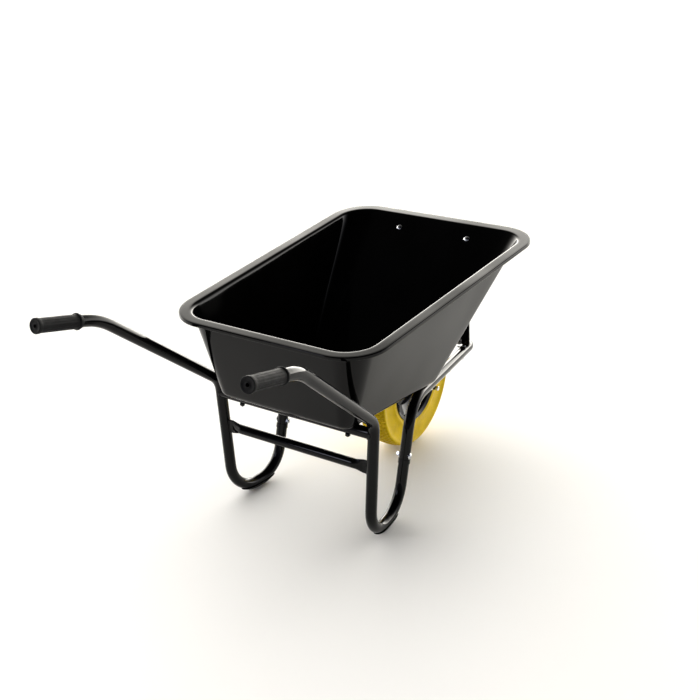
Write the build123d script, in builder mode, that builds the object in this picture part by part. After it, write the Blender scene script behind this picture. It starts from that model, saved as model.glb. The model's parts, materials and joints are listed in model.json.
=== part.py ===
"""Builder's wheelbarrow: a bent tube frame, a pressed steel tray and one front wheel.

Frame of the part: +X points forward to the wheel, +Y to the left, +Z up.
The origin is on the ground under the middle of the whole barrow. Millimetres.
"""

import os
from math import hypot

from build123d import *

os.makedirs("parts", exist_ok=True)

# ---------------------------------------------------------------- leg tubes
tube_od = 30.0
tube_wall = 1.8
shoe_thick = 3.0            # wear shoe under each foot
shoe_top = 14.0             # how high the shoe wraps up the tube
shoe_wear = 0.6             # depth of the flat that the shoe stands on
shoe_gap = 0.1
foot_rear_x = -134.3        # rear leg, carried straight down to the foot
foot_rear_y = 221.7
foot_bend_r = 90.0          # bends are measured at the middle of the tube
knee_x = -142.9             # where a rear leg turns into the handle
knee_y = 239.8
knee_z = 362.3
knee_bend_r = 62.0
wrist_x = -506.9            # where a handle turns level for the grip
wrist_y = 283.6
wrist_z = 649.1
wrist_bend_r = 190.0
grip_end_x = -687.0
grip_end_y = 291.6
grip_end_z = 692.1
joint_x = 70.0              # where the front frame slips over the leg tube
joint_y = 201.5
joint_z = 139.0
stub_fit = 0.3              # gap round the swaged stub
stub_length = 46.0
stub_taper = 8.0
collar_thick = 1.5          # flared mouth of the front frame
collar_length = 12.0

# ---------------------------------------------------------------- front frame
shoulder_x = 110.1          # where the front frame turns forward under the tray
shoulder_bend_r = 85.0
nose_x = 676.5              # where the front frame crosses in front of the wheel
nose_y = 93.3
nose_bend_r = 62.0
nose_drop = 9.0             # how far the side tubes drop away from the floor's line at the nose

# ---------------------------------------------------------------- cross members
brace_od = 26.0
brace_wall = 1.5
brace_z = 230.0
brace_flat_height = 38.0    # the brace's crushed ends
brace_flat_thick = 6.0
brace_flat_length = 12.0
brace_taper_length = 30.0

# ---------------------------------------------------------------- grips
grip_length = 129.0
grip_od = 34.0
grip_bead_od = 36.6         # the bead round the grip's outer end
grip_bead_length = 9.0
grip_flange_od = 40.0
grip_flange_thick = 8.0
grip_end_wall = 5.0
grip_end_hole_d = 8.0
grip_flutes = 16
grip_flute_r = 2.4
grip_flute_depth = 1.1
grip_fit = 0.05
grip_edge = 2.0
grip_flute_margin = 6.0     # plain barrel left at both ends of the flutes

# ---------------------------------------------------------------- tray
tray_wall = 1.5
floor_rear_x = -197.5       # outside of the tray's floor
floor_rear_z = 349.1
floor_front_x = 246.5
floor_front_z = 309.2
floor_half_rear = 199.5
floor_half_front = 203.0
floor_corner_r = 32.0
floor_edge_r = 20.0
rim_rear_x = -284.0         # outer edge of the rim
rim_rear_z = 581.0
rim_front_x = 647.5
rim_front_z = 647.5
rim_half_rear = 298.5
rim_half_front = 323.0
rim_corner_r = 112.0
rim_flange = 35.0
rim_lip = 10.0

# ---------------------------------------------------------------- wheel
wheel_x = 419.8
tyre_od = 393.0
tyre_shoulder_od = 378.0
tyre_shoulder_half_width = 43.5
tyre_bead_od = 246.0
tyre_bead_half_width = 42.0
tyre_seat_r = 106.0         # where the tyre sits on the rim
tyre_seat_half_width = 35.0
sidewall_half_width = 38.5  # at the shallow hollow in each sidewall
sidewall_hollow_r = 158.0
rim_steel = 2.5
rim_gap = 0.2
rim_dish = 16.0             # how far each half of the rim dishes out to its bed
rim_disc_r = 76.0
rim_edge_r = 117.0
rim_bend_r = 4.0
rim_bolt_circle = 92.0
rim_bolt_count = 4
rim_bolt_angle = 45.0
hub_bore_d = 26.0
hub_wall = 3.0
hub_length = 88.0
axle_d = 12.0
axle_fit = 0.05
bush_flange_d = 34.0
bush_flange_thick = 3.0
bush_length = 20.0
bush_fit = 0.02             # gap round a bush that is pressed into the hub

# ---------------------------------------------------------------- axle and brackets
axle_end_y = 115.0
bracket_y = 90.5            # middle of a bracket's ear
bracket_thick = 5.0
bracket_width = 26.0
bracket_bend_r = 3.0
bracket_ear_r = 12.0        # rounding of the ear's lower corners
bracket_reach = 1.0         # how far the bracket's top passes the middle of the tube
spacer_od = 20.0
sleeve_od = 13.0
side_gap = 0.4              # gap between the turning hub and the fixed spacers
washer_thick = 2.0
axle_washer_od = 18.0
axle_cap_od = 13.6          # caps pushed on over the ends of the axle
axle_cap_length = 7.0
axle_cap_end = 1.0
axle_cap_gap = 0.2
axle_chamfer = 1.0

# ---------------------------------------------------------------- stays and bolts
stay_width = 26.0
stay_thick = 4.0
stay_bend_r = 7.0           # at the middle of the strip
stay_bolt_x = 573.5
tray_bolt_x = 577.0
stay_tab = 17.0             # from a stay's bolt to the middle of its upright
stay_top_tab = 17.0         # from a stay's top bolt to the middle of its upright
stay_tab_end = 12.0         # from a stay's bolt to the end of its tab
floor_bolt_y = 165.0
bolt_d = 8.0
bolt_head_d = 17.0          # domed heads
bolt_head_thick = 4.5
nut_flats = 13.0
nut_thick = 6.5
bolt_end = 3.0              # thread that shows past a nut
joint_bolt_rise = 22.0      # height of the leg joint's bolt above the mouth
hole_clear = 0.4
thread_gap = 0.05
seat_gap = 0.3              # gap left by paint between parts that are bolted up

# ---------------------------------------------------------------- worked out
tube_r = tube_od / 2
tube_bore_r = tube_r - tube_wall
foot_z = tube_r + shoe_thick - shoe_wear
axle_z = tyre_od / 2
sides = (("left", 1), ("right", -1))

floor_slope = (floor_front_z - floor_rear_z) / (floor_front_x - floor_rear_x)
plan_slope = (nose_y - joint_y) / (nose_x - shoulder_x)


def floor_z(x):
    """Height of the outside of the tray's floor, or of the same plane past its ends."""
    return floor_rear_z + floor_slope * (x - floor_rear_x)


def carrier_z(x):
    """Height of the middle of a tube that carries the tray's floor."""
    return floor_z(x) - (seat_gap + tube_r) * hypot(1, floor_slope)


def side_tube_z(x):
    """Height of the middle of a side tube, which carries the floor at its shoulder."""
    return carrier_z(x) - nose_drop * (x - shoulder_x) / (nose_x - shoulder_x)


def side_tube_y(x):
    return joint_y + plan_slope * (x - shoulder_x)


def shoulder_point(side):
    return Vector(shoulder_x, side * joint_y, side_tube_z(shoulder_x))


def nose_point(side):
    return Vector(nose_x, side * nose_y, side_tube_z(nose_x))


def joint_point(side):
    return Vector(joint_x, side * joint_y, joint_z)


def leg_route(side):
    """Corners of a leg tube, from the grip end down round the foot to the leg joint."""
    joint = joint_point(side)
    front_leg = shoulder_point(side) - joint
    grip_end = Vector(grip_end_x, side * grip_end_y, grip_end_z)
    wrist = Vector(wrist_x, side * wrist_y, wrist_z)
    tube_end = grip_end + (wrist - grip_end).normalized() * grip_end_wall
    return [
        tube_end,
        wrist,
        Vector(knee_x, side * knee_y, knee_z),
        Vector(foot_rear_x, side * foot_rear_y, foot_z),
        joint + front_leg * ((foot_z - joint_z) / front_leg.Z),
        joint,
    ]


leg_bends = [wrist_bend_r, knee_bend_r, foot_bend_r, foot_bend_r]


def rear_leg_at(z, side):
    """Middle of a rear leg at a height below the knee."""
    share = (z - foot_z) / (knee_z - foot_z)
    x = foot_rear_x + share * (knee_x - foot_rear_x)
    y = foot_rear_y + share * (knee_y - foot_rear_y)
    return Vector(x, side * y, z)


def save(piece, node):
    """Label a finished piece and write it out under its node's name."""
    piece.label = node
    export_step(piece, f"parts/{node}.step")


# ---------------------------------------------------------------- planes and shared shapes
rim_rear = Vector(rim_rear_x, 0, rim_rear_z)
rim_front = Vector(rim_front_x, 0, rim_front_z)
floor_rear = Vector(floor_rear_x, 0, floor_rear_z)
floor_front = Vector(floor_front_x, 0, floor_front_z)
rim_way = (rim_front - rim_rear).normalized()
floor_way = (floor_front - floor_rear).normalized()
wall_top = rim_front - rim_way * rim_flange
wall_way = (wall_top - floor_front).normalized()
wall_out = Vector(wall_way.Z, 0, -wall_way.X)
across = Vector(0, 1, 0)
rim_plane = Plane(origin=(rim_rear + rim_front) / 2, x_dir=rim_way, z_dir=rim_way.cross(across))
floor_plane = Plane(
    origin=(floor_rear + floor_front) / 2, x_dir=floor_way, z_dir=floor_way.cross(across)
)
stay_y = side_tube_y(stay_bolt_x)
tube_way = Vector(nose_x - shoulder_x, 0, side_tube_z(nose_x) - side_tube_z(shoulder_x)).normalized()
tube_up = tube_way.cross(across)
cross_bar_x = knee_x
cross_bar_z = carrier_z(cross_bar_x)


def axle_planes(y):
    """A plane across the axle on each side, facing outward, at a distance from the middle."""
    return [
        Plane(origin=(wheel_x, side * y, axle_z), x_dir=(1, 0, 0), z_dir=across * side)
        for _, side in sides
    ]


def floor_bolt_plane(y, depth):
    """A plane parallel to the tray's floor over the cross bar, a depth under its outside."""
    outside = Vector(cross_bar_x, y, floor_z(cross_bar_x))
    return Plane(origin=outside - floor_plane.z_dir * depth, x_dir=floor_way, z_dir=floor_plane.z_dir)


def wall_bolt_plane(y, depth):
    """A plane parallel to the tray's front wall at its bolt, a depth outside the wall."""
    reach = (tray_bolt_x - floor_front_x) / wall_way.X
    place = floor_front + wall_way * reach + wall_out * depth + across * y
    return Plane(origin=place, x_dir=across, z_dir=-wall_out)


def foot_bolt_plane(y, height):
    """A plane parallel to the side tube at a stay's foot, a height over the tube's middle."""
    middle = Vector(stay_bolt_x, y, side_tube_z(stay_bolt_x))
    return Plane(origin=middle + tube_up * height, x_dir=tube_way, z_dir=tube_up)


def turned_over(plane):
    return Plane(origin=plane.origin, x_dir=plane.x_dir, z_dir=-plane.z_dir)


def domed_bolts(seats, reach):
    """Domed bolts: each head stands on its seat and its shank reaches back through it."""
    with BuildPart() as bolts:
        for seat in seats:
            with BuildSketch(Plane(origin=seat.origin, x_dir=seat.x_dir, z_dir=-seat.y_dir)):
                with BuildLine():
                    Polyline(
                        (0, bolt_head_thick),
                        (0, -reach),
                        (bolt_d / 2, -reach),
                        (bolt_d / 2, 0),
                        (bolt_head_d / 2, 0),
                    )
                    TangentArc((0, bolt_head_thick), (bolt_head_d / 2, 0), tangent=(1, 0))
                make_face()
            revolve(axis=Axis(seat.origin, seat.z_dir))
    return bolts.part


def hex_nuts(seats, flats, thick, bore_r):
    """Hexagon nuts, one standing on each seat."""
    with BuildPart() as nuts:
        with BuildSketch(*seats):
            RegularPolygon(flats / 2, 6, major_radius=False)
            Circle(bore_r, mode=Mode.SUBTRACT)
        extrude(amount=thick)
    return nuts.part


def rings(seats, outer_r, inner_r, thick):
    """Washers, spacers or sleeves, one standing on each seat."""
    with BuildPart() as washers:
        with BuildSketch(*seats):
            Circle(outer_r)
            Circle(inner_r, mode=Mode.SUBTRACT)
        extrude(amount=thick)
    return washers.part


def tube_along(route, bends, outer_r, inner_r):
    """A round tube bent along a route, or a solid bar when the inner radius is zero."""
    with BuildPart() as tube:
        with BuildLine():
            line = FilletPolyline(*route, radius=bends)
        with BuildSketch(Plane(origin=line @ 0, z_dir=line % 0)):
            Circle(outer_r)
            if inner_r > 0:
                Circle(inner_r, mode=Mode.SUBTRACT)
        sweep(path=line)
    return tube.part


bolt_hole_r = bolt_d / 2 + hole_clear
cut_length = 2 * tube_od    # bolt holes are cut this long, which is right through a tube
nut_bore_r = bolt_d / 2 + thread_gap
leg_space = [
    tube_along(leg_route(side)[1:5], leg_bends[1:3], tube_r + seat_gap, 0) for _, side in sides
]

# ---------------------------------------------------------------- leg tubes
stub_r = tube_bore_r - stub_fit
upward = (Align.CENTER, Align.CENTER, Align.MIN)
for name, side in sides:
    stub_way = (shoulder_point(side) - joint_point(side)).normalized()
    mouth = Plane(origin=joint_point(side), x_dir=across, z_dir=stub_way)
    with BuildPart() as leg_tube:
        add(tube_along(leg_route(side), leg_bends, tube_r, tube_bore_r))
        with Locations(mouth.offset(-stub_taper)):
            Cone(tube_bore_r + tube_wall / 2, stub_r, stub_taper, align=upward)
            Cylinder(stub_r, stub_taper + stub_length, align=upward)
            Cylinder(
                stub_r - tube_wall, stub_taper + stub_length, align=upward, mode=Mode.SUBTRACT
            )
        with Locations(mouth.offset(joint_bolt_rise)):
            Cylinder(bolt_hole_r, cut_length, rotation=(0, 90, 0), mode=Mode.SUBTRACT)
    save(leg_tube.part, f"{name}_leg_tube")

    with BuildPart() as foot_shoe:
        foot_route = [rear_leg_at(foot_z + 2 * foot_bend_r, side), *leg_route(side)[3:]]
        add(tube_along(foot_route, leg_bends[2:], tube_r + shoe_thick, tube_r + shoe_gap))
        with Locations((foot_rear_x, side * foot_rear_y, 0)):
            Box(
                4 * foot_bend_r + tube_od,
                3 * tube_od,
                shoe_top,
                align=upward,
                mode=Mode.INTERSECT,
            )
    save(foot_shoe.part, f"{name}_foot_shoe")

# ---------------------------------------------------------------- front frame
with BuildPart() as front_frame:
    frame_route = [
        joint_point(-1),
        shoulder_point(-1),
        nose_point(-1),
        nose_point(1),
        shoulder_point(1),
        joint_point(1),
    ]
    frame_bends = [shoulder_bend_r, nose_bend_r, nose_bend_r, shoulder_bend_r]
    add(tube_along(frame_route, frame_bends, tube_r, tube_bore_r))
    for name, side in sides:
        stub_way = (shoulder_point(side) - joint_point(side)).normalized()
        mouth = Plane(origin=joint_point(side), x_dir=across, z_dir=stub_way)
        add(rings([mouth], tube_r + collar_thick, tube_bore_r + tube_wall / 2, collar_length))
        with Locations(mouth.offset(joint_bolt_rise)):
            Cylinder(bolt_hole_r, cut_length, rotation=(0, 90, 0), mode=Mode.SUBTRACT)
        with Locations(foot_bolt_plane(side * stay_y, 0)):
            Cylinder(bolt_hole_r, cut_length, mode=Mode.SUBTRACT)
save(front_frame.part, "front_frame_tube")

joint_seats = []
joint_nut_seats = []
for name, side in sides:
    stub_way = (shoulder_point(side) - joint_point(side)).normalized()
    bolt_middle = joint_point(side) + stub_way * joint_bolt_rise
    outward = across * side
    joint_seats.append(Plane(origin=bolt_middle + outward * tube_r, x_dir=stub_way, z_dir=outward))
    joint_nut_seats.append(
        Plane(origin=bolt_middle - outward * tube_r, x_dir=stub_way, z_dir=-outward)
    )
save(domed_bolts(joint_seats, tube_od + nut_thick + bolt_end), "leg_joint_bolts")
save(hex_nuts(joint_nut_seats, nut_flats, nut_thick, nut_bore_r), "leg_joint_nuts")

# ---------------------------------------------------------------- brace and cross bar
brace_end = rear_leg_at(brace_z, 1)
flat_start = brace_end.Y - tube_r - brace_flat_length
taper_start = flat_start - brace_taper_length


def brace_section(y):
    return Plane(origin=(brace_end.X, y, brace_z), x_dir=(0, 0, 1), z_dir=(0, 1, 0))


def half_brace(inset):
    """Half of the brace from the middle out, its end crushed flat; inset makes its bore."""
    with BuildPart() as half:
        with BuildSketch(brace_section(0)):
            Circle(brace_od / 2 - inset)
        extrude(amount=taper_start)
        with BuildSketch(brace_section(taper_start)):
            Circle(brace_od / 2 - inset)
        with BuildSketch(brace_section(flat_start)):
            SlotOverall(brace_flat_height - 2 * inset, brace_flat_thick - 2 * inset)
        loft()
        with BuildSketch(brace_section(flat_start)):
            SlotOverall(brace_flat_height - 2 * inset, brace_flat_thick - 2 * inset)
        extrude(amount=brace_end.Y - flat_start - tube_r / 2)
    return half.part


with BuildPart() as leg_brace:
    add(half_brace(0))
    add(half_brace(brace_wall), mode=Mode.SUBTRACT)
    mirror(about=Plane.XZ)
    for space in leg_space:
        add(space, mode=Mode.SUBTRACT)
save(leg_brace.part, "leg_brace")

with BuildPart() as cross_bar:
    with BuildSketch(Plane(origin=(cross_bar_x, 0, cross_bar_z), x_dir=(1, 0, 0), z_dir=(0, 1, 0))):
        Circle(tube_r)
        Circle(tube_bore_r, mode=Mode.SUBTRACT)
    extrude(amount=rear_leg_at(cross_bar_z, 1).Y, both=True)
    for space in leg_space:
        add(space, mode=Mode.SUBTRACT)
    for name, side in sides:
        with Locations(floor_bolt_plane(side * floor_bolt_y, tube_r)):
            Cylinder(bolt_hole_r, cut_length, mode=Mode.SUBTRACT)
save(cross_bar.part, "tray_cross_bar")

# ---------------------------------------------------------------- grips
for name, side in sides:
    grip_end = Vector(grip_end_x, side * grip_end_y, grip_end_z)
    grip_way = (Vector(wrist_x, side * wrist_y, wrist_z) - grip_end).normalized()
    end_plane = Plane(origin=grip_end, x_dir=across, z_dir=grip_way)
    barrel_end = grip_length - grip_flange_thick
    with BuildPart() as grip:
        with BuildSketch(Plane(origin=grip_end, x_dir=end_plane.x_dir, z_dir=-end_plane.y_dir)):
            with BuildLine():
                Polyline(
                    (grip_end_hole_d / 2, 0),
                    (grip_bead_od / 2 - grip_edge, 0),
                    (grip_bead_od / 2, grip_edge),
                    (grip_bead_od / 2, grip_bead_length),
                    (grip_od / 2, grip_bead_length),
                    (grip_od / 2, barrel_end),
                    (grip_flange_od / 2, barrel_end),
                    (grip_flange_od / 2, grip_length),
                    (tube_r + grip_fit, grip_length),
                    (tube_r + grip_fit, grip_end_wall),
                    (grip_end_hole_d / 2, grip_end_wall),
                    close=True,
                )
            make_face()
        revolve(axis=Axis(grip_end, grip_way))
        flute_start = grip_bead_length + grip_flute_margin
        flute_length = barrel_end - grip_flute_margin - flute_start
        with Locations(end_plane.offset(flute_start)):
            with PolarLocations(grip_od / 2 + grip_flute_r - grip_flute_depth, grip_flutes):
                Cylinder(grip_flute_r, flute_length, align=upward, mode=Mode.SUBTRACT)
    save(grip.part, f"{name}_grip")

# ---------------------------------------------------------------- tray
floor_half_length = (floor_front - floor_rear).length / 2
rim_half_length = (rim_front - rim_rear).length / 2


def tray_outline(plane, half_length, half_rear, half_front, corner_r, inset):
    """A rounded outline, wider at one end, drawn in from its edge by an inset."""
    with BuildSketch(plane) as outline:
        with BuildLine():
            Polyline(
                (-half_length, -half_rear),
                (half_length, -half_front),
                (half_length, half_front),
                (-half_length, half_rear),
                close=True,
            )
        make_face()
        fillet(outline.vertices(), corner_r)
        if inset > 0:
            offset(amount=-inset, mode=Mode.REPLACE)
    return outline.sketch


def floor_outline(inset):
    return tray_outline(
        floor_plane.offset(inset),
        floor_half_length,
        floor_half_rear,
        floor_half_front,
        floor_corner_r,
        inset,
    )


def rim_outline(drop, inset):
    return tray_outline(
        rim_plane.offset(-drop),
        rim_half_length,
        rim_half_rear,
        rim_half_front,
        rim_corner_r,
        inset,
    )


def bowl(inset):
    """The solid that fills the tray up to its rim, drawn in by an inset."""
    with BuildPart() as filled:
        loft([floor_outline(inset).face(), rim_outline(0, rim_flange + inset).face()], ruled=True)
        fillet(filled.faces().sort_by(Axis.Z)[0].edges(), floor_edge_r - inset)
    return filled.part


with BuildPart() as tray:
    add(bowl(0))
    extrude(rim_outline(tray_wall, 0), amount=tray_wall, dir=rim_plane.z_dir)
    extrude(rim_outline(rim_lip, 0), amount=rim_lip, dir=rim_plane.z_dir)
    lip_space = extrude(
        rim_outline(rim_lip, tray_wall),
        amount=rim_lip - tray_wall,
        dir=rim_plane.z_dir,
        mode=Mode.PRIVATE,
    )
    add(lip_space, mode=Mode.SUBTRACT)
    add(bowl(0))
    add(bowl(tray_wall), mode=Mode.SUBTRACT)
    for name, side in sides:
        with Locations(
            floor_bolt_plane(side * floor_bolt_y, 0), wall_bolt_plane(side * stay_y, 0)
        ):
            Cylinder(bolt_hole_r, cut_length, mode=Mode.SUBTRACT)
save(tray.part, "tray")

# ---------------------------------------------------------------- tray bolts
rear_seats = [floor_bolt_plane(side * floor_bolt_y, -tray_wall) for _, side in sides]
rear_grip = tray_wall + seat_gap + tube_od
rear_nut_seats = [
    turned_over(floor_bolt_plane(side * floor_bolt_y, seat_gap + tube_od)) for _, side in sides
]
save(domed_bolts(rear_seats, rear_grip + nut_thick + bolt_end), "tray_floor_bolts")
save(hex_nuts(rear_nut_seats, nut_flats, nut_thick, nut_bore_r), "tray_floor_nuts")

front_seats = [wall_bolt_plane(side * stay_y, -tray_wall) for _, side in sides]
front_grip = tray_wall + seat_gap + stay_thick
front_nut_seats = [
    turned_over(wall_bolt_plane(side * stay_y, seat_gap + stay_thick)) for _, side in sides
]
save(domed_bolts(front_seats, front_grip + nut_thick + bolt_end), "tray_front_bolts")
save(hex_nuts(front_nut_seats, nut_flats, nut_thick, nut_bore_r), "tray_front_nuts")

foot_seats = [
    foot_bolt_plane(side * stay_y, tube_r + seat_gap + stay_thick) for _, side in sides
]
foot_grip = stay_thick + seat_gap + tube_od
foot_nut_seats = [turned_over(foot_bolt_plane(side * stay_y, -tube_r)) for _, side in sides]
save(domed_bolts(foot_seats, foot_grip + nut_thick + bolt_end), "stay_foot_bolts")
save(hex_nuts(foot_nut_seats, nut_flats, nut_thick, nut_bore_r), "stay_foot_nuts")

# ---------------------------------------------------------------- front stays
stay_seat = seat_gap + stay_thick / 2
for name, side in sides:
    foot_bolt = foot_bolt_plane(side * stay_y, tube_r + stay_seat).origin
    wall_bolt = wall_bolt_plane(side * stay_y, stay_seat).origin
    stay_route = [
        foot_bolt - tube_way * stay_tab_end,
        foot_bolt + tube_way * stay_tab,
        wall_bolt - wall_way * stay_top_tab,
        wall_bolt + wall_way * stay_tab_end,
    ]
    with BuildPart() as front_stay:
        with BuildLine():
            strip = FilletPolyline(*stay_route, radius=stay_bend_r)
        with BuildSketch(Plane(origin=strip @ 0, x_dir=across, z_dir=strip % 0)):
            Rectangle(stay_width, stay_thick)
        sweep(path=strip)
        with Locations(
            foot_bolt_plane(side * stay_y, tube_r + stay_seat),
            wall_bolt_plane(side * stay_y, stay_seat),
        ):
            Cylinder(bolt_hole_r, cut_length, mode=Mode.SUBTRACT)
    save(front_stay.part, f"{name}_front_stay")

# ---------------------------------------------------------------- axle brackets
bracket_top = (side_tube_z(wheel_x) - axle_z) * tube_way.X - tube_r - seat_gap
bracket_end = side_tube_y(wheel_x) + bracket_reach
bracket_in = bracket_y - bracket_thick / 2
bracket_out = bracket_y + bracket_thick / 2
for name, side in sides:
    section = Plane(origin=(wheel_x, 0, axle_z), x_dir=(0, side, 0), z_dir=tube_way * side)
    with BuildPart() as axle_bracket:
        with BuildSketch(section) as angle:
            with BuildLine():
                Polyline(
                    (bracket_in, -bracket_width / 2),
                    (bracket_out, -bracket_width / 2),
                    (bracket_out, bracket_top - bracket_thick),
                    (bracket_end, bracket_top - bracket_thick),
                    (bracket_end, bracket_top),
                    (bracket_in, bracket_top),
                    close=True,
                )
            make_face()
            outer_corner = angle.vertices().sort_by_distance((bracket_in, bracket_top))[0]
            fillet(outer_corner, bracket_bend_r + bracket_thick)
            inner_place = (bracket_out, bracket_top - bracket_thick)
            fillet(angle.vertices().sort_by_distance(inner_place)[0], bracket_bend_r)
        extrude(amount=bracket_width / 2, both=True)
        ear_bottom = axle_bracket.edges().filter_by(Axis.Y).sort_by(Axis.Z)[0:2]
        fillet(ear_bottom, bracket_ear_r)
        with Locations(section):
            Cylinder(
                axle_d / 2 + hole_clear,
                2 * axle_end_y,
                rotation=(0, 90, 0),
                mode=Mode.SUBTRACT,
            )
    save(axle_bracket.part, f"{name}_axle_bracket")

# ---------------------------------------------------------------- axle and its fittings
axle_bore_r = axle_d / 2 + thread_gap
hub_half = hub_length / 2
bush_face = hub_half + bush_flange_thick
sleeve_start = bracket_out + washer_thick
axle_half = axle_end_y - axle_cap_end - axle_cap_gap
cap_start = axle_end_y - axle_cap_length
spacer_start = bush_face + side_gap
with BuildPart() as axle:
    with BuildSketch(axle_planes(0)[0]):
        Circle(axle_d / 2)
    extrude(amount=axle_half, both=True)
    chamfer(axle.edges().filter_by(GeomType.CIRCLE), axle_chamfer)
save(axle.part, "axle")
save(
    rings(axle_planes(spacer_start), spacer_od / 2, axle_bore_r, bracket_in - spacer_start),
    "axle_spacers",
)
save(rings(axle_planes(bracket_out), axle_washer_od / 2, axle_bore_r, washer_thick), "axle_washers")
save(
    rings(axle_planes(sleeve_start), sleeve_od / 2, axle_bore_r, cap_start - sleeve_start),
    "axle_sleeves",
)
with BuildPart() as axle_caps:
    with BuildSketch(*axle_planes(cap_start)):
        Circle(axle_cap_od / 2)
    extrude(amount=axle_cap_length)
    chamfer(axle_caps.edges().filter_by(GeomType.CIRCLE).group_by(Axis.Y)[0], axle_chamfer)
    chamfer(axle_caps.edges().filter_by(GeomType.CIRCLE).group_by(Axis.Y)[-1], axle_chamfer)
    with BuildSketch(*axle_planes(cap_start)):
        Circle(axle_bore_r)
    extrude(amount=axle_cap_length - axle_cap_end, mode=Mode.SUBTRACT)
save(axle_caps.part, "axle_caps")

# ---------------------------------------------------------------- wheel
wheel_section = Plane(origin=(wheel_x, 0, axle_z), x_dir=(1, 0, 0), z_dir=(0, 0, 1))
wheel_axis = Axis((wheel_x, 0, axle_z), (0, 1, 0))
tyre_r = tyre_od / 2
shoulder_r = tyre_shoulder_od / 2
bead_r = tyre_bead_od / 2
hub_r = hub_bore_d / 2 + hub_wall
rim_half_steel = rim_steel / 2

with BuildPart() as tyre:
    with BuildSketch(wheel_section) as tyre_face:
        with BuildLine():
            Polyline(
                (shoulder_r, -tyre_shoulder_half_width),
                (sidewall_hollow_r, -sidewall_half_width),
                (bead_r, -tyre_bead_half_width),
                (tyre_seat_r, -tyre_seat_half_width),
                (tyre_seat_r, tyre_seat_half_width),
                (bead_r, tyre_bead_half_width),
                (sidewall_hollow_r, sidewall_half_width),
                (shoulder_r, tyre_shoulder_half_width),
            )
            ThreePointArc(
                (shoulder_r, tyre_shoulder_half_width),
                (tyre_r, 0),
                (shoulder_r, -tyre_shoulder_half_width),
            )
        make_face()
        for _, side in sides:
            seat_corner = (tyre_seat_r, side * tyre_seat_half_width)
            fillet(
                tyre_face.vertices().sort_by_distance(seat_corner)[0],
                rim_bend_r - rim_half_steel - rim_gap,
            )
    revolve(axis=wheel_axis)
save(tyre.part, "tyre")

# Each half of the rim is one pressed sheet: a disc, a dish, a bed and a turned-out edge.
bed_r = tyre_seat_r - rim_gap - rim_half_steel
edge_rise = (tyre_bead_half_width - tyre_seat_half_width) / (bead_r - tyre_seat_r)
edge_start = tyre_seat_half_width + (rim_gap + rim_half_steel) * hypot(1, edge_rise)
for name, side in sides:
    disc_y = rim_half_steel + rim_gap / 2
    with BuildPart() as rim_half:
        with BuildSketch(wheel_section):
            with BuildLine() as sheet:
                FilletPolyline(
                    (hub_r + rim_gap, side * disc_y),
                    (rim_disc_r, side * disc_y),
                    (bed_r, side * rim_dish),
                    (bed_r, side * (edge_start + edge_rise * (bed_r - tyre_seat_r))),
                    (rim_edge_r, side * (edge_start + edge_rise * (rim_edge_r - tyre_seat_r))),
                    radius=rim_bend_r,
                )
            trace(line_width=rim_steel)
        revolve(axis=wheel_axis)
        with Locations(Plane(origin=(wheel_x, 0, axle_z), x_dir=(1, 0, 0), z_dir=across)):
            with PolarLocations(rim_bolt_circle / 2, rim_bolt_count, start_angle=rim_bolt_angle):
                Cylinder(bolt_hole_r, cut_length, mode=Mode.SUBTRACT)
    save(rim_half.part, f"rim_{name}_half")

rim_face = rim_gap / 2 + rim_steel
bolt_angles = [rim_bolt_angle + turn * 360 / rim_bolt_count for turn in range(rim_bolt_count)]
rim_bolt_seats = []
rim_nut_seats = []
for angle in bolt_angles:
    spot = Vector(wheel_x, 0, axle_z) + Vector(rim_bolt_circle / 2, 0, 0).rotate(Axis.Y, angle)
    rim_bolt_seats.append(Plane(origin=spot - across * rim_face, x_dir=(1, 0, 0), z_dir=-across))
    rim_nut_seats.append(Plane(origin=spot + across * rim_face, x_dir=(1, 0, 0), z_dir=across))
save(domed_bolts(rim_bolt_seats, 2 * rim_face + nut_thick + bolt_end), "rim_bolts")
save(hex_nuts(rim_nut_seats, nut_flats, nut_thick, nut_bore_r), "rim_nuts")

save(rings(axle_planes(0), hub_r, hub_bore_d / 2, hub_half), "hub_tube")

with BuildPart() as hub_bushes:
    with BuildSketch(*axle_planes(hub_half - bush_length)):
        Circle(hub_bore_d / 2 - bush_fit)
        Circle(axle_d / 2 + axle_fit, mode=Mode.SUBTRACT)
    extrude(amount=bush_length)
    with BuildSketch(*axle_planes(hub_half)):
        Circle(bush_flange_d / 2)
        Circle(axle_d / 2 + axle_fit, mode=Mode.SUBTRACT)
    extrude(amount=bush_flange_thick)
save(hub_bushes.part, "hub_bushes")
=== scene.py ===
import json
from math import acos, atan2, cos, pi, radians, sin, tan

import bpy
from mathutils import Matrix, Vector
from mathutils.bvhtree import BVHTree


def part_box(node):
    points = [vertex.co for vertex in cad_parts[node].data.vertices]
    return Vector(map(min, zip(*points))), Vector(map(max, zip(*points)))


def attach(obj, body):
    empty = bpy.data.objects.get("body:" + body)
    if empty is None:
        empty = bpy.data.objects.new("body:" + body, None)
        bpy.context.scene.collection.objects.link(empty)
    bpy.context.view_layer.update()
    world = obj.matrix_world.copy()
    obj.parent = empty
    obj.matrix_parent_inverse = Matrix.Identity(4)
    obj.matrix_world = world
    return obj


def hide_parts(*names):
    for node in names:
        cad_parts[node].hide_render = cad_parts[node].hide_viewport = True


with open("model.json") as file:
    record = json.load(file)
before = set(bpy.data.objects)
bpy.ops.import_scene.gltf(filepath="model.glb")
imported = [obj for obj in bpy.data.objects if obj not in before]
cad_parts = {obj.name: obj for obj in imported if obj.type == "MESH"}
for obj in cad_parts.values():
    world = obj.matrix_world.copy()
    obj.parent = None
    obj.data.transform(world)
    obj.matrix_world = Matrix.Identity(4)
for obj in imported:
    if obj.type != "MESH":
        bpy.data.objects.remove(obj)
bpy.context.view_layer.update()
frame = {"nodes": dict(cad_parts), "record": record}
nodes = frame["nodes"]

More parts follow.
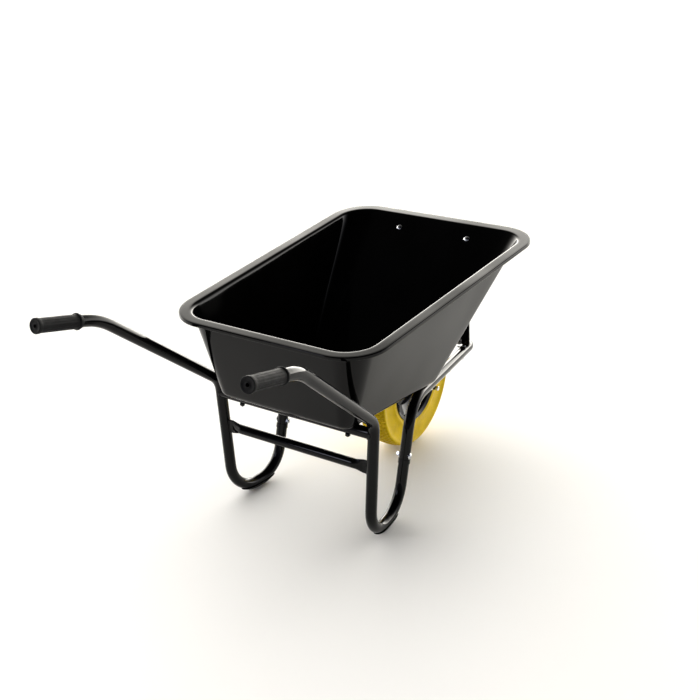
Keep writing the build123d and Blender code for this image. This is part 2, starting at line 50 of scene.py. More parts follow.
# Sizes, in metres, in the model's frame: +X forward to the wheel, +Y left, +Z up.
FORWARD = Vector((1, 0, 0))
ACROSS = Vector((0, 1, 0))
UP = Vector((0, 0, 1))

# The tray's floor and rim
FLOOR_REAR = Vector((-0.1975, 0, 0.3491))
FLOOR_FRONT = Vector((0.2465, 0, 0.3092))
FLOOR_HALF_REAR = 0.1995
FLOOR_HALF_FRONT = 0.203
FLOOR_CORNER_R = 0.032
FLOOR_EDGE_R = 0.020
RIM_REAR = Vector((-0.284, 0, 0.581))
RIM_FRONT = Vector((0.6475, 0, 0.6475))
RIM_HALF_REAR = 0.2985
RIM_HALF_FRONT = 0.323
RIM_CORNER_R = 0.112
RIM_FLANGE = 0.035
RIM_LIP = 0.010
RIM_INNER_R = 0.010         # where the wall turns out into the flange
RIM_OUTER_R = 0.0028        # where the flange turns down into the lip
HEM_R = 0.0022              # the lip's edge, folded back under itself
TRAY_WALL = 0.0015

# The grips
GRIP_END = Vector((-0.687, 0.2916, 0.6921))
WRIST = Vector((-0.5069, 0.2836, 0.6491))
GRIP_LENGTH = 0.129
GRIP_SET_IN = 0.0002
GRIP_R = 0.017
GRIP_BEAD_R = 0.0182
GRIP_FLANGE_R = 0.020
TUBE_R = 0.015
GRIP_HOLE_R = 0.004
GRIP_BARREL_START = 0.010
GRIP_BARREL_MARGIN = 0.016  # from the barrel's end to the end of the grip's collar
GRIP_EDGE_R = 0.0018
GRIP_FLUTES = 16
GRIP_FLUTE_DEPTH = 0.0006
GRIP_FLUTE_FADE = 0.004

# The wheel
WHEEL = Vector((0.4198, 0, 0.1965))
TYRE_R = 0.1965
SHOULDER_R = 0.189
SHOULDER_Y = 0.0435
SIDEWALL_R = 0.158
SIDEWALL_Y = 0.0385
BEAD_R = 0.123
BEAD_Y = 0.042
SEAT_R = 0.106
SEAT_Y = 0.035
TREAD_DEPTH = 0.003
TREAD_BLOCKS = 84
TREAD_BEVEL = 0.0005
TREAD_EDGE = (0.0385, 0.0405)   # rounding of the tread towards the shoulder
GROOVES = (                 # from and to, measured from the middle of the tread
    (0.0030, 0.0048),
    (0.0108, 0.0126),
    (0.0186, 0.0204),
    (0.0264, 0.0282),
    (0.0340, 0.0356),
)
SLOT_START = 0.33           # the slot between two blocks, as shares of their pitch
SLOT_END = 0.65

# The side tubes run down from the tray's floor to the nose
SIDE_TUBE_RUN = 0.5664
NOSE_DROP = 0.009

# The camera, and the studio's light
CAMERA_PLACE = Vector((-2.1864, -1.5032, 1.5834))
CAMERA_HEADING = radians(33.065)
CAMERA_DOWN = radians(23.181)
CAMERA_ROLL = radians(-0.7405)
CAMERA_LENS = 56.84
SURROUND_AHEAD = 11.0
SURROUND_BEHIND = 0.3
DAYLIGHT = 1.7
DAYLIGHT_SPREAD = radians(75)
CEILING_START = 0.66        # sine of the height where the bright surround has faded out
CEILING_SHARE = 0.01

# Bolts and nuts
BOLT_R = 0.004
HEAD_R = 0.0085
HEAD_THICK = 0.0045
THREAD_PITCH = 0.00125
NUT_FLATS = 0.013
NUT_MOUTH = 0.0005          # how far the bore's mouth opens out
NUT_LAND = 0.96             # share of the flats that the washer face covers
THREAD_LENGTH = 0.014
THREAD_ROOT = 0.86          # radius at the foot of the thread, as a share of the bolt's
BOLT_TIP = 0.0008
HEAD_EDGE = 0.0009          # height of the head's straight edge, under the dome

# Welds
WELD_R = 0.0019
WELD_RIPPLE = 0.0021
WELD_STANDOFF = 0.0004


# ---------------------------------------------------------------- mesh helpers
def make_piece(name, verts, faces, material, body, sharp_angle=40.0):
    """A mesh piece in the model's frame, smooth except where it turns sharply."""
    mesh = bpy.data.meshes.new(name)
    mesh.from_pydata([tuple(v) for v in verts], [], faces)
    mesh.validate()
    mesh.polygons.foreach_set("use_smooth", [True] * len(mesh.polygons))
    mesh.set_sharp_from_angle(angle=radians(sharp_angle))
    mesh.materials.append(material)
    piece = bpy.data.objects.new(name, mesh)
    bpy.context.scene.collection.objects.link(piece)
    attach(piece, body)
    return piece


def grid_faces(rings, around, close_rings=False):
    """Faces of a grid of rings, each a closed loop of points."""
    faces = []
    last = rings if close_rings else rings - 1
    for i in range(last):
        here = i * around
        there = (i + 1) % rings * around
        for j in range(around):
            k = (j + 1) % around
            faces.append((here + j, here + k, there + k, there + j))
    return faces


def turned(origin, axis, side, profile, around):
    """Points and faces of a shape turned about an axis. Profile points are (along, radius)."""
    other = axis.cross(side)
    verts = []
    for along, radius in profile:
        for j in range(around):
            a = 2 * pi * j / around
            verts.append(origin + axis * along + (side * cos(a) + other * sin(a)) * radius)
    return verts, grid_faces(len(profile), around)


def side_of(axis):
    """A direction square to an axis."""
    helper = UP if abs(axis.z) < 0.9 else FORWARD
    return (helper - axis * helper.dot(axis)).normalized()


def arc(centre, radius, start, stop, steps):
    """Points of a profile's round corner, as (x, y) pairs, angles in degrees."""
    points = []
    for k in range(steps + 1):
        a = radians(start + (stop - start) * k / steps)
        points.append((centre[0] + radius * cos(a), centre[1] + radius * sin(a)))
    return points


def join(shapes):
    """One list of points and one of faces from several."""
    verts = []
    faces = []
    for more_verts, more_faces in shapes:
        shift = len(verts)
        verts += more_verts
        faces += [tuple(i + shift for i in face) for face in more_faces]
    return verts, faces


def solids_of(node):
    """The separate solids of a CAD node, each as a list of its points."""
    mesh = nodes[node].data
    keys = {}
    for v in mesh.vertices:
        keys.setdefault(tuple(round(c, 6) for c in v.co), len(keys))
    owner = list(range(len(keys)))

    def root(i):
        while owner[i] != i:
            owner[i] = owner[owner[i]]
            i = owner[i]
        return i

    number = [keys[tuple(round(c, 6) for c in v.co)] for v in mesh.vertices]
    for e in mesh.edges:
        owner[root(number[e.vertices[0]])] = root(number[e.vertices[1]])
    groups = {}
    for key, i in keys.items():
        groups.setdefault(root(i), []).append(Vector(key))
    return sorted(groups.values(), key=lambda points: points[0].y)


def ends_of(points, axis):
    """The two ends, low and high, of a turned solid's axis."""
    side = side_of(axis)
    other = axis.cross(side)
    spans = []
    for way in (axis, side, other):
        reach = [p.dot(way) for p in points]
        spans.append((min(reach), max(reach)))
    middle = side * sum(spans[1]) / 2 + other * sum(spans[2]) / 2
    return middle + axis * spans[0][0], middle + axis * spans[0][1]


# ---------------------------------------------------------------- materials
class Nodes:
    """A material's node tree, with short calls to add to it."""

    def __init__(self, name):
        self.material = bpy.data.materials.new(name)
        self.material.use_nodes = True
        self.tree = self.material.node_tree
        self.shader = self.tree.nodes["Principled BSDF"]
        self.place = self.add("ShaderNodeTexCoord").outputs["Object"]

    def add(self, kind, inputs=None, **settings):
        node = self.tree.nodes.new(kind)
        for key, value in settings.items():
            setattr(node, key, value)
        for key, value in (inputs or {}).items():
            if isinstance(value, bpy.types.NodeSocket):
                self.tree.links.new(value, node.inputs[key])
            else:
                node.inputs[key].default_value = value
        return node

    def noise(self, scale, detail=3.0, rough=0.5, place=None):
        inputs = {"Vector": place or self.place, "Scale": scale, "Detail": detail, "Roughness": rough}
        return self.add("ShaderNodeTexNoise", inputs).outputs["Fac"]

    def spread(self, value, low, high, to_low, to_high):
        inputs = {
            "Value": value,
            "From Min": low,
            "From Max": high,
            "To Min": to_low,
            "To Max": to_high,
        }
        return self.add("ShaderNodeMapRange", inputs).outputs["Result"]

    def mix(self, share, first, second):
        node = self.add("ShaderNodeMix", data_type="RGBA")
        for key, value in (("Factor", share), ("A", first), ("B", second)):
            socket = [s for s in node.inputs if s.name == key and s.enabled][0]
            if isinstance(value, bpy.types.NodeSocket):
                self.tree.links.new(value, socket)
            else:
                socket.default_value = value
        return [s for s in node.outputs if s.enabled][0]

    def bump(self, height, strength, distance, under=None):
        inputs = {"Height": height, "Strength": strength, "Distance": distance}
        if under:
            inputs["Normal"] = under
        return self.add("ShaderNodeBump", inputs).outputs["Normal"]

    def link(self, value, socket):
        self.tree.links.new(value, self.shader.inputs[socket])

    def set(self, **values):
        for key, value in values.items():
            self.shader.inputs[key.replace("_", " ")].default_value = value


def enamel(name, colour, lighter, ripple):
    """Glossy black enamel: orange peel, a slow ripple of the sheet and faint handling marks."""
    m = Nodes(name)
    haze = m.noise(9.0, 4.0)
    m.link(m.mix(m.spread(haze, 0.35, 0.7, 0.0, 1.0), colour, lighter), "Base Color")
    marks = m.noise(60.0, 6.0, 0.65)
    m.link(m.spread(marks, 0.3, 0.75, 0.05, 0.10), "Roughness")
    slow = m.bump(m.noise(4.0, 1.0), 0.35, ripple)
    peel = m.bump(m.noise(420.0, 2.0), 0.05, 0.0004, slow)
    m.link(peel, "Normal")
    m.set(IOR=1.26)
    return m.material


def zinc(name, colour, darker, low, high):
    """Plated steel: fine brushing, cloudy roughness and small dull spots."""
    m = Nodes(name)
    cloud = m.noise(90.0, 5.0, 0.6)
    m.link(m.mix(m.spread(cloud, 0.35, 0.7, 0.0, 1.0), colour, darker), "Base Color")
    m.link(m.spread(m.noise(300.0, 3.0), 0.3, 0.7, low, high), "Roughness")
    m.link(m.bump(m.noise(900.0, 3.0), 0.15, 0.0003), "Normal")
    m.set(Metallic=1.0)
    return m.material


def rubber(name, colour, lighter):
    """Matt moulded rubber with a fine grain and a greyish bloom."""
    m = Nodes(name)
    bloom = m.noise(45.0, 4.0, 0.6)
    m.link(m.mix(m.spread(bloom, 0.4, 0.75, 0.0, 1.0), colour, lighter), "Base Color")
    m.link(m.spread(m.noise(160.0, 3.0), 0.3, 0.7, 0.55, 0.7), "Roughness")
    m.link(m.bump(m.noise(1400.0, 2.0), 0.25, 0.0003), "Normal")
    m.set(IOR=1.22)
    return m.material


def foam(name, colour, shade, speck):
    """Golden solid foam rubber: satin skin, mottled colour, small pits and darker specks."""
    m = Nodes(name)
    cloud = m.spread(m.noise(22.0, 5.0, 0.6), 0.35, 0.68, 0.0, 1.0)
    body = m.mix(cloud, colour, shade)
    spots = m.spread(m.noise(260.0, 4.0, 0.7), 0.55, 0.72, 0.0, 0.75)
    m.link(m.mix(spots, body, speck), "Base Color")
    m.link(m.spread(m.noise(70.0, 3.0), 0.3, 0.7, 0.34, 0.55), "Roughness")
    pits = m.bump(m.noise(700.0, 3.0, 0.6), 0.3, 0.0006)
    m.link(m.bump(m.noise(30.0, 2.0), 0.15, 0.002, pits), "Normal")
    m.set(IOR=1.25)
    return m.material


def nylon(name, colour, lighter):
    """Moulded nylon, faintly mottled and satin."""
    m = Nodes(name)
    m.link(m.mix(m.noise(80.0, 4.0), colour, lighter), "Base Color")
    m.link(m.spread(m.noise(200.0, 3.0), 0.3, 0.7, 0.3, 0.45), "Roughness")
    m.link(m.bump(m.noise(900.0, 2.0), 0.15, 0.0002), "Normal")
    return m.material


tray_enamel = enamel(
    "tray_enamel", (0.0008, 0.0008, 0.0008, 1), (0.0015, 0.0015, 0.0016, 1), 0.012
)
frame_enamel = enamel(
    "frame_enamel", (0.0012, 0.0012, 0.0013, 1), (0.0022, 0.0022, 0.0024, 1), 0.0015
)
rim_enamel = enamel("rim_enamel", (0.004, 0.004, 0.0045, 1), (0.007, 0.007, 0.008, 1), 0.002)
zinc_steel = zinc("zinc_steel", (0.78, 0.79, 0.82, 1), (0.5, 0.52, 0.56, 1), 0.14, 0.3)
dark_steel = zinc("dark_steel", (0.10, 0.105, 0.115, 1), (0.05, 0.052, 0.06, 1), 0.2, 0.38)
grip_rubber = rubber("grip_rubber", (0.004, 0.0042, 0.0046, 1), (0.008, 0.0083, 0.009, 1))
tyre_foam = foam(
    "tyre_foam", (0.74, 0.52, 0.004, 1), (0.60, 0.41, 0.003, 1), (0.32, 0.20, 0.002, 1)
)
bush_plastic = nylon("bush_plastic", (0.02, 0.02, 0.022, 1), (0.035, 0.035, 0.04, 1))
finishes = {
    "tray_enamel": tray_enamel,
    "frame_enamel": frame_enamel,
    "rim_enamel": rim_enamel,
    "zinc_steel": zinc_steel,
    "dark_steel": dark_steel,
    "grip_rubber": grip_rubber,
    "tyre_foam": tyre_foam,
    "bush_plastic": bush_plastic,
}
slots = {entry["node"]: entry["material_slot"] for entry in frame["record"]["subparts"]}
for node, slot in slots.items():
    nodes[node].data.materials.clear()
    nodes[node].data.materials.append(finishes[slot])


# ---------------------------------------------------------------- tray
CORNER_STEPS = 16
SIDE_STEPS = 14


def tray_ring(rear, front, half_rear, half_front, corner_r, inset):
    """A rounded outline in the plane through its two ends: (points, outward normals, up)."""
    way = (front - rear).normalized()
    up = way.cross(ACROSS)
    half_length = (front - rear).length / 2
    centre = (front + rear) / 2
    corners = [
        Vector((half_length, half_front)),
        Vector((-half_length, half_rear)),
        Vector((-half_length, -half_rear)),
        Vector((half_length, -half_front)),
    ]
    arcs = []
    for k, corner in enumerate(corners):
        before = (corners[k - 1] - corner).normalized()
        after = (corners[(k + 1) % 4] - corner).normalized()
        half_angle = acos(before.dot(after)) / 2
        middle = corner + (before + after).normalized() * corner_r / sin(half_angle)
        start = Vector((-before.y, before.x))
        stop = Vector((after.y, -after.x))
        arcs.append((middle, start, stop))
    points = []
    normals = []
    radius = corner_r - inset
    for k, (middle, start, stop) in enumerate(arcs):
        turn = acos(max(-1.0, min(1.0, start.dot(stop))))
        for step in range(CORNER_STEPS + 1):
            share = step / CORNER_STEPS
            normal = (start * sin((1 - share) * turn) + stop * sin(share * turn)) / sin(turn)
            points.append(middle + normal * radius)
            normals.append(normal)
        next_middle, next_start, _ = arcs[(k + 1) % 4]
        leave = middle + stop * radius
        arrive = next_middle + next_start * radius
        for step in range(1, SIDE_STEPS):
            points.append(leave.lerp(arrive, step / SIDE_STEPS))
            normals.append(stop)
    places = [centre + way * p.x + ACROSS * p.y for p in points]
    outward = [way * n.x + ACROSS * n.y for n in normals]
    return places, outward, up


def rounded_turn(corner, arrive, leave, radius, steps):
    """Points of a round corner between two directions, tangent to both."""
    turn = acos(max(-1.0, min(1.0, arrive.dot(leave))))
    reach = radius * tan(turn / 2)
    square = (leave - arrive * leave.dot(arrive)).normalized()
    start = corner - arrive * reach
    points = []
    for k in range(steps + 1):
        a = turn * k / steps
        points.append(start + arrive * radius * sin(a) + square * radius * (1 - cos(a)))
    return points


def build_tray():
    """The pressed tray as one sheet: floor, walls, flange, and a lip with a folded hem."""
    foot, foot_out, _ = tray_ring(
        FLOOR_REAR, FLOOR_FRONT, FLOOR_HALF_REAR, FLOOR_HALF_FRONT, FLOOR_CORNER_R, 0.0
    )
    rim = (RIM_REAR, RIM_FRONT, RIM_HALF_REAR, RIM_HALF_FRONT, RIM_CORNER_R)
    top, rim_out, rim_up = tray_ring(*rim, RIM_FLANGE)
    edge, _, _ = tray_ring(*rim, 0.0)
    centre = (FLOOR_REAR + FLOOR_FRONT) / 2
    columns = []
    for i in range(len(foot)):
        wall = (top[i] - foot[i]).normalized()
        bottom = rounded_turn(foot[i], foot_out[i], wall, FLOOR_EDGE_R, 7)
        shoulder = rounded_turn(top[i], wall, rim_out[i], RIM_INNER_R, 7)
        outer = rounded_turn(edge[i], rim_out[i], -rim_up, RIM_OUTER_R, 7)
        lip_end = edge[i] - rim_up * (RIM_LIP - HEM_R) - rim_out[i] * HEM_R
        hem = []
        for k in range(1, 9):
            a = pi * k / 8
            hem.append(lip_end + (rim_out[i] * cos(a) - rim_up * sin(a)) * HEM_R)
        column = [centre.lerp(bottom[0], share / 9) for share in range(1, 9)]
        column += bottom
        column += [bottom[-1].lerp(shoulder[0], share / 22) for share in range(1, 22)]
        column += shoulder
        column += [shoulder[-1].lerp(outer[0], share / 4) for share in range(1, 4)]
        column += outer
        column.append(lip_end + rim_out[i] * HEM_R)
        column += hem
        columns.append(column)
    around = len(columns)
    rings = len(columns[0])
    verts = [columns[i][k] for k in range(rings) for i in range(around)]
    faces = grid_faces(rings, around)
    verts.append(centre)
    faces += [(rings * around, (i + 1) % around, i) for i in range(around)]
    tray = make_piece("pressed_tray", verts, faces, tray_enamel, "chassis")
    sheet = tray.modifiers.new("sheet", "SOLIDIFY")
    sheet.thickness = TRAY_WALL
    sheet.offset = 1.0
    sheet.use_even_offset = True
    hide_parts("tray")


build_tray()


# ---------------------------------------------------------------- tyre
def tyre_crown(y):
    """Radius of the tread's top at a place across the tyre."""
    return TYRE_R - (TYRE_R - SHOULDER_R) * (y / SHOULDER_Y) ** 2


def build_tyre():
    """The foam tyre: turned sidewalls with a bead and a ridge, and ribs cut into blocks."""
    stations = [0.0]
    for start, stop in GROOVES:
        stations += [start, start + TREAD_BEVEL, stop - TREAD_BEVEL, stop]
    half = sorted({*stations, *TREAD_EDGE})
    across = [-y for y in reversed(half[1:])] + half
    slot_share = (0.0, 0.30, 0.36, 0.5, 0.62, 0.68, 0.86)
    around = TREAD_BLOCKS * len(slot_share)

    def in_groove(y):
        inset = TREAD_BEVEL / 2
        return any(start + inset < abs(y) < stop - inset for start, stop in GROOVES)

    def in_slot(y, share):
        """Whether a place is in a slot; the slots of each row are half a block on."""
        row = sum(abs(y) > start for start, _ in GROOVES)
        if abs(y) < GROOVES[0][0] + TREAD_BEVEL / 2:
            return False
        shifted = (share + 0.5 * (row % 2)) % 1.0
        return SLOT_START < shifted < SLOT_END

    def wall_profile(side):
        """(y, radius) from the shoulder in to the seat, on one side."""
        # The rounded shoulder, which stands out as a ridge
        points = [(0.0422, 0.1893), (0.0432, 0.1882), (0.0435, 0.1868), (0.0434, 0.1845)]
        points += [(0.0428, 0.1822), (0.0417, 0.1795), (0.0404, 0.176), (0.0393, 0.171)]
        # The hollow of the sidewall
        points += [(0.0387, 0.165), (SIDEWALL_Y, SIDEWALL_R), (0.0386, 0.151), (0.0389, 0.1445)]
        points += [(0.0395, 0.1395), (0.0405, 0.1355), (0.0416, 0.1325), (0.0424, 0.129)]
        # The bead, the slope that lies on the rim's edge, and the seat
        points += [(0.0426, 0.1258), (BEAD_Y, BEAD_R), (0.0405, 0.1196), (0.0375, 0.1121)]
        points += [(SEAT_Y, SEAT_R + 0.0012), (SEAT_Y - 0.0012, SEAT_R)]
        return [(side * y, r) for y, r in points]

    rows = [("wall", y, r) for y, r in reversed(wall_profile(-1))]
    rows += [("tread", y, tyre_crown(y)) for y in across]
    rows += [("wall", y, r) for y, r in wall_profile(1)]
    verts = []
    for kind, y, radius in rows:
        for j in range(around):
            block, k = divmod(j, len(slot_share))
            share = slot_share[k]
            a = 2 * pi * (block + share) / TREAD_BLOCKS
            r = radius
            if kind == "tread" and (in_groove(y) or in_slot(y, share)):
                r = radius - TREAD_DEPTH
            verts.append(WHEEL + Vector((r * cos(a), y, -r * sin(a))))
    faces = grid_faces(len(rows), around, close_rings=True)
    tyre = make_piece("foam_tyre", verts, faces, tyre_foam, "wheel", 32.0)
    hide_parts("tyre")


build_tyre()


# ---------------------------------------------------------------- grips
def build_grip(name, side):
    """A moulded grip: an end bead round a vent hole, a fluted barrel, a flange and a collar."""
    mirror = Vector((1, side, 1))
    axis = ((WRIST - GRIP_END) * mirror).normalized()
    end = GRIP_END * mirror + axis * GRIP_SET_IN
    start = side_of(axis)
    other = axis.cross(start)
    around = 192
    barrel_start = GRIP_BARREL_START
    # The end face, with its vent hole and a shallow ring pressed into it
    profile = [(barrel_start, 0.0), (barrel_start, GRIP_HOLE_R * 0.98), (0.0012, GRIP_HOLE_R)]
    profile += [(0.0003, 0.0048), (0.0012, 0.0062), (0.0012, 0.0128), (0.0002, 0.0142)]
    # The bead round the end
    edge = arc((0.0, GRIP_BEAD_R - GRIP_EDGE_R), GRIP_EDGE_R, 180, 90, 6)
    profile += [(x + GRIP_EDGE_R, r) for x, r in edge]
    profile += [(0.0075, GRIP_BEAD_R), (0.0085, GRIP_BEAD_R - 0.0004), (0.0092, GRIP_R + 0.0002)]
    # The fluted barrel
    profile += [(barrel_start, GRIP_R)]
    barrel_end = GRIP_LENGTH - GRIP_BARREL_MARGIN
    barrel_steps = 14
    for k in range(1, barrel_steps):
        profile.append((barrel_start + (barrel_end - barrel_start) * k / barrel_steps, GRIP_R))
    # The flange and the collar that grips the tube
    profile += [(barrel_end, GRIP_R), (barrel_end + 0.0015, GRIP_R + 0.0005)]
    profile += arc((barrel_end + 0.0058, GRIP_FLANGE_R - 0.0035), 0.0035, 170, 10, 10)
    profile += [(barrel_end + 0.0105, GRIP_R - 0.0001), (GRIP_LENGTH - 0.0015, GRIP_R - 0.0003)]
    profile += [(GRIP_LENGTH - 0.0003, GRIP_R - 0.0011), (GRIP_LENGTH, TUBE_R + 0.0002)]
    verts = []
    for along, radius in profile:
        fade = min(1.0, max(0.0, (along - 0.013) / GRIP_FLUTE_FADE))
        fade *= min(1.0, max(0.0, (barrel_end - GRIP_FLUTE_FADE - along) / GRIP_FLUTE_FADE))
        for j in range(around):
            a = 2 * pi * j / around
            wave = (0.5 + 0.5 * cos(GRIP_FLUTES * a)) ** 3
            r = radius - GRIP_FLUTE_DEPTH * fade * wave
            verts.append(end + axis * along + (start * cos(a) + other * sin(a)) * r)
    faces = grid_faces(len(profile), around)
    return make_piece(name, verts, faces, grip_rubber, "chassis", 50.0)


for side_name, side in (("left", 1), ("right", -1)):
    grip_piece = build_grip(f"{side_name}_moulded_grip", side)
    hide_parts(f"{side_name}_grip")


# ---------------------------------------------------------------- bolts and nuts
def bolt_shape(low, high):
    """A domed bolt between its two ends, its head at the high one, with a threaded end."""
    axis = (high - low).normalized()
    length = (high - low).length
    thread_length = min(THREAD_LENGTH, length - HEAD_THICK - 0.002)
    profile = [(0.0, 0.0), (0.0, BOLT_R * 0.72), (BOLT_TIP, BOLT_R * 0.9)]
    turns = int(thread_length / THREAD_PITCH)
    for k in range(turns):
        base = BOLT_TIP + k * THREAD_PITCH
        profile += [(base + THREAD_PITCH * 0.35, BOLT_R), (base + THREAD_PITCH * 0.5, BOLT_R)]
        profile += [(base + THREAD_PITCH, BOLT_R * THREAD_ROOT)]
    profile += [(2 * BOLT_TIP + turns * THREAD_PITCH, BOLT_R)]
    seat = length - HEAD_THICK
    profile += [(seat, BOLT_R), (seat, HEAD_R - 0.0004), (seat + 0.0003, HEAD_R)]
    profile += [(seat + HEAD_EDGE, HEAD_R)]
    rise = HEAD_THICK - HEAD_EDGE
    dome = (HEAD_R**2 + rise**2) / (2 * rise)
    spread = atan2(HEAD_R, dome - rise)
    for k in range(1, 10):
        a = spread * (1 - k / 9)
        profile.append((length - dome + dome * cos(a), max(dome * sin(a), 0.0)))
    return turned(low, axis, side_of(axis), profile, 32)


def nut_shape(low, high):
    """A hexagon nut between its two faces, with chamfered corners and a small washer face."""
    axis = (high - low).normalized()
    start = side_of(axis)
    other = axis.cross(start)
    thick = (high - low).length
    around = 72
    flat = NUT_FLATS / 2
    verts = []
    slope = tan(radians(30))
    rows = (
        ("bore", 0.0004), ("mouth", 0.0), ("land", 0.0), ("hex", 0.0), ("hex", thick),
        ("land", thick), ("mouth", thick), ("bore", thick - 0.0004),
    )
    for kind, along in rows:
        for j in range(around):
            a = 2 * pi * j / around
            hex_r = flat / cos((a + pi / 6) % (pi / 3) - pi / 6)
            if kind == "bore":
                r = BOLT_R
            elif kind == "mouth":
                r = BOLT_R + NUT_MOUTH
            elif kind == "land":
                r = flat * NUT_LAND
            else:
                r = hex_r
            place = along
            if kind == "hex":
                drop = (hex_r - flat * NUT_LAND) * slope
                place = drop if along == 0.0 else thick - drop
            verts.append(low + axis * place + (start * cos(a) + other * sin(a)) * r)
    return verts, grid_faces(len(rows), around, close_rings=True)


rim_way = (RIM_FRONT - RIM_REAR).normalized()
floor_way = (FLOOR_FRONT - FLOOR_REAR).normalized()
floor_up = floor_way.cross(ACROSS)
wall_top = RIM_FRONT - rim_way * RIM_FLANGE
wall_way = (wall_top - FLOOR_FRONT).normalized()
wall_out = Vector((wall_way.z, 0, -wall_way.x))
tube_way = (floor_way * SIDE_TUBE_RUN / floor_way.x - UP * NOSE_DROP).normalized()
tube_up = tube_way.cross(ACROSS)

bolt_axes = {
    "tray_floor_bolts": (floor_up, floor_up),
    "tray_front_bolts": (-wall_out, -wall_out),
    "stay_foot_bolts": (tube_up, tube_up),
    "leg_joint_bolts": (-ACROSS, ACROSS),
    "rim_bolts": (-ACROSS, -ACROSS),
}
for node, (right_axis, left_axis) in bolt_axes.items():
    shapes = []
    for points in solids_of(node):
        middle_y = sum(p.y for p in points) / len(points)
        axis = left_axis if middle_y > 0 else right_axis
        low, high = ends_of(points, axis)
        shapes.append(bolt_shape(low, high))
    body = "wheel" if node == "rim_bolts" else "chassis"
    verts, faces = join(shapes)
    slot = slots[node]
    bolts = make_piece(f"threaded_{node}", verts, faces, finishes[slot], body, 35.0)
    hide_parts(node)

nut_axes = {
    "tray_floor_nuts": floor_up,
    "tray_front_nuts": wall_out,
    "stay_foot_nuts": tube_up,
    "leg_joint_nuts": ACROSS,
    "rim_nuts": ACROSS,
}
for node, axis in nut_axes.items():
    shapes = []
    for points in solids_of(node):
        low, high = ends_of(points, axis)
        shapes.append(nut_shape(low, high))
    body = "wheel" if node == "rim_nuts" else "chassis"
    verts, faces = join(shapes)
    slot = slots[node]
    nuts = make_piece(f"chamfered_{node}", verts, faces, finishes[slot], body, 30.0)
    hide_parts(node)


# ---------------------------------------------------------------- welds
def weld_bead(name, places, radius):
    """A rippled weld bead laid round a joint, along a closed loop of points."""
    count = len(places)
    around = 10
    verts = []
    travelled = 0.0
    for i, place in enumerate(places):
        ahead = places[(i + 1) % count]
        behind = places[i - 1]
        way = (ahead - behind).normalized()
        side = side_of(way)
        other = way.cross(side)
        travelled += (place - behind).length if i else 0.0
        ripple = 0.84 + 0.3 * abs(sin(travelled / WELD_RIPPLE))
        for j in range(around):
            a = 2 * pi * j / around
            verts.append(place + (side * cos(a) + other * sin(a)) * radius * ripple)
    faces = grid_faces(count, around, close_rings=True)
    return make_piece(name, verts, faces, frame_enamel, "chassis", 60.0)


def surface_of(node):
    """A CAD node's surface, ready for rays."""
    mesh = nodes[node].data
    points = [v.co.copy() for v in mesh.vertices]
    return BVHTree.FromPolygons(points, [tuple(p.vertices) for p in mesh.polygons])


def weld_round(name, centre, half_x, half_z, side, leg):
    """A bead where a cross member's outline meets a leg tube; both its halves are given."""
    count = 72
    places = []
    straight = max(half_z - half_x, 0.0)
    for k in range(count):
        a = 2 * pi * k / count
        x = half_x * cos(a)
        z = half_x * sin(a) + (straight if sin(a) > 0 else -straight)
        start = Vector((centre.x + x, side * 0.1, centre.z + z))
        hit = leg.ray_cast(start, ACROSS * side, 0.3)[0]
        if hit:
            places.append(hit - ACROSS * side * WELD_STANDOFF)
    return weld_bead(name, places, WELD_R)


for side_name, side in (("left", 1), ("right", -1)):
    leg = surface_of(f"{side_name}_leg_tube")
    low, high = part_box("leg_brace")
    weld_round(
        f"{side_name}_brace_weld", (low + high) / 2, 0.003, (high.z - low.z) / 2, side, leg
    )
    low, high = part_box("tray_cross_bar")
    weld_round(f"{side_name}_cross_bar_weld", (low + high) / 2, TUBE_R, TUBE_R, side, leg)


# ---------------------------------------------------------------- stage, light and camera
def build_floor():
    """A pale floor that reaches far past everything in view."""
    reach = 40.0
    mesh = bpy.data.meshes.new("studio_floor")
    corners = [(-reach, -reach, 0), (reach, -reach, 0), (reach, reach, 0), (-reach, reach, 0)]
    mesh.from_pydata(corners, [], [(0, 1, 2, 3)])
    floor = bpy.data.objects.new("studio_floor", mesh)
    bpy.context.scene.collection.objects.link(floor)
    m = Nodes("studio_floor")
    m.link(m.mix(m.noise(0.8), (0.93, 0.92, 0.90, 1), (0.96, 0.955, 0.94, 1)), "Base Color")
    m.set(Roughness=0.6)
    mesh.materials.append(m.material)


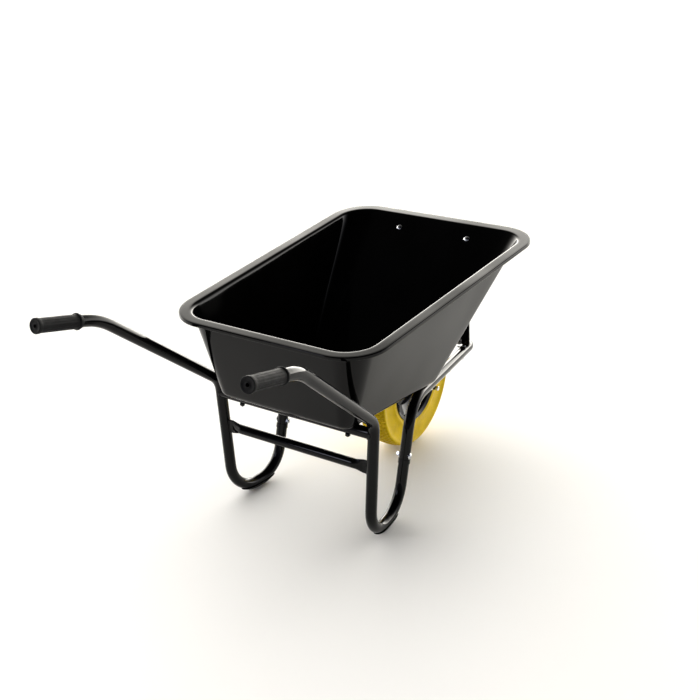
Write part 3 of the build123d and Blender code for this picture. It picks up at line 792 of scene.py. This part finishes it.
def build_world():
    """A studio with a bright white surround ahead, a dimmer room behind and a dark ceiling."""
    world = bpy.data.worlds.new("studio")
    bpy.context.scene.world = world
    world.use_nodes = True
    tree = world.node_tree
    background = tree.nodes["Background"]
    place = tree.nodes.new("ShaderNodeTexCoord").outputs["Generated"]

    def along(way):
        node = tree.nodes.new("ShaderNodeVectorMath")
        node.operation = "DOT_PRODUCT"
        node.inputs[1].default_value = way
        tree.links.new(place, node.inputs[0])
        return node.outputs["Value"]

    def stretch(value, start, stop, low, high):
        node = tree.nodes.new("ShaderNodeMapRange")
        node.interpolation_type = "SMOOTHSTEP"
        tree.links.new(value, node.inputs["Value"])
        for key, number in (
            ("From Min", start), ("From Max", stop), ("To Min", low), ("To Max", high)
        ):
            node.inputs[key].default_value = number
        return node.outputs["Result"]

    heading = Vector((cos(CAMERA_HEADING), sin(CAMERA_HEADING), 0))
    ahead = stretch(along(heading), -0.3, 0.75, SURROUND_BEHIND, SURROUND_AHEAD)
    height = stretch(along(UP), 0.0, CEILING_START, 1.0, CEILING_SHARE)
    product = tree.nodes.new("ShaderNodeMath")
    product.operation = "MULTIPLY"
    tree.links.new(ahead, product.inputs[0])
    tree.links.new(height, product.inputs[1])
    tree.links.new(product.outputs["Value"], background.inputs["Strength"])
    tint = tree.nodes.new("ShaderNodeMix")
    tint.data_type = "RGBA"
    colours = [socket for socket in tint.inputs if socket.type == "RGBA"]
    colours[0].default_value = (0.86, 0.88, 1.0, 1)
    colours[1].default_value = (1.0, 0.97, 0.90, 1)
    tree.links.new(stretch(along(heading), -0.5, 0.5, 0.0, 1.0), tint.inputs["Factor"])
    tinted = [socket for socket in tint.outputs if socket.type == "RGBA"][0]
    tree.links.new(tinted, background.inputs["Color"])


def area_light(name, place, aim, size, power, colour, reflected):
    """A rectangular lamp aimed at a point, which glossy surfaces may or may not reflect."""
    light = bpy.data.lights.new(name, "AREA")
    light.shape = "RECTANGLE"
    light.size, light.size_y = size
    light.energy = power
    light.color = colour
    lamp = bpy.data.objects.new(name, light)
    lamp.location = place
    lamp.rotation_euler = (Vector(aim) - Vector(place)).to_track_quat("-Z", "Y").to_euler()
    lamp.visible_glossy = reflected
    bpy.context.scene.collection.objects.link(lamp)


def build_daylight():
    """The even light of a large white studio, which keeps the floor white and shadows soft."""
    light = bpy.data.lights.new("daylight", "SUN")
    light.energy = DAYLIGHT
    light.angle = DAYLIGHT_SPREAD
    light.color = (1.0, 0.99, 0.97)
    lamp = bpy.data.objects.new("daylight", light)
    shining = Vector((-0.25, -0.35, -1.0))
    lamp.rotation_euler = shining.to_track_quat("-Z", "Y").to_euler()
    lamp.visible_glossy = False
    bpy.context.scene.collection.objects.link(lamp)


def build_camera():
    """The camera stands behind and to the right of the barrow, looking forward and down."""
    level = cos(CAMERA_DOWN)
    ahead = Vector(
        (cos(CAMERA_HEADING) * level, sin(CAMERA_HEADING) * level, -sin(CAMERA_DOWN))
    )
    right = ahead.cross(UP).normalized()
    top = right.cross(ahead)
    rolled_right = right * cos(CAMERA_ROLL) + top * sin(CAMERA_ROLL)
    rolled_top = top * cos(CAMERA_ROLL) - right * sin(CAMERA_ROLL)
    camera = bpy.data.cameras.new("camera")
    camera.lens = CAMERA_LENS
    camera.sensor_width = 36.0
    eye = bpy.data.objects.new("camera", camera)
    turn = Matrix((rolled_right, rolled_top, -ahead)).transposed().to_4x4()
    eye.matrix_world = Matrix.Translation(CAMERA_PLACE) @ turn
    bpy.context.scene.collection.objects.link(eye)
    bpy.context.scene.camera = eye


build_floor()
build_world()
build_daylight()
area_light(
    "right_side",
    place=(1.2, -2.6, 1.1),
    aim=(0.4, 0, 0.2),
    size=(2.4, 1.6),
    power=8,
    colour=(1.0, 0.98, 0.95),
    reflected=False,
)
area_light(
    "window",
    place=(-2.6, 1.4, 1.7),
    aim=(-0.1, 0, 0.35),
    size=(0.5, 0.9),
    power=10,
    colour=(0.82, 0.84, 1.0),
    reflected=True,
)
build_camera()
bpy.context.scene.view_settings.view_transform = "Standard"
